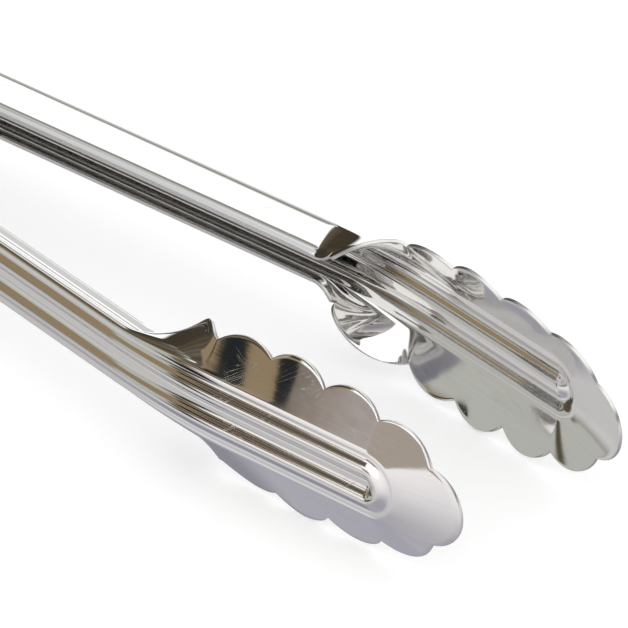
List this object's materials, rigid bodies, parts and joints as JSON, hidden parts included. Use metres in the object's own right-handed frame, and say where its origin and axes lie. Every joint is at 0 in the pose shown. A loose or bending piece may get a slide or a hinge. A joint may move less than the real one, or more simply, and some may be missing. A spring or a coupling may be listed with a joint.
{
  "type": "kitchen tongs",
  "caption": "Spring loaded utility tongs: two pressed steel arms with scalloped, ribbed jaws turn on a rivet and are pushed open by a torsion spring.",
  "frame": {"origin": "centre of the pivot rivet, halfway across the width of the arms", "axes": "+X towards the jaws, +Y towards the inner arm, +Z along the pivot"},
  "size_m": [0.3084, 0.0628, 0.0378],
  "materials": {
    "arm_steel": "polished",
    "rivet_steel": "satin",
    "spring_steel": "drawn wire"
  },
  "bodies": {
    "outer_arm": {"outer_arm": "arm_steel", "pivot_rivet": "rivet_steel", "spacer_tube": "rivet_steel", "torsion_spring": "spring_steel"},
    "inner_arm": {"inner_arm": "arm_steel"}
  },
  "joints": [
    {"name": "arm_pivot", "type": "hinge", "parent": "outer_arm", "child": "inner_arm", "pos_m": [0, 0, 0], "axis": [0, 0, -1], "range_deg": [0, 8.24], "stiffness_Nm_per_rad": 0.55, "springref_deg": -40.11, "deforming": ["torsion_spring"]}
  ]
}
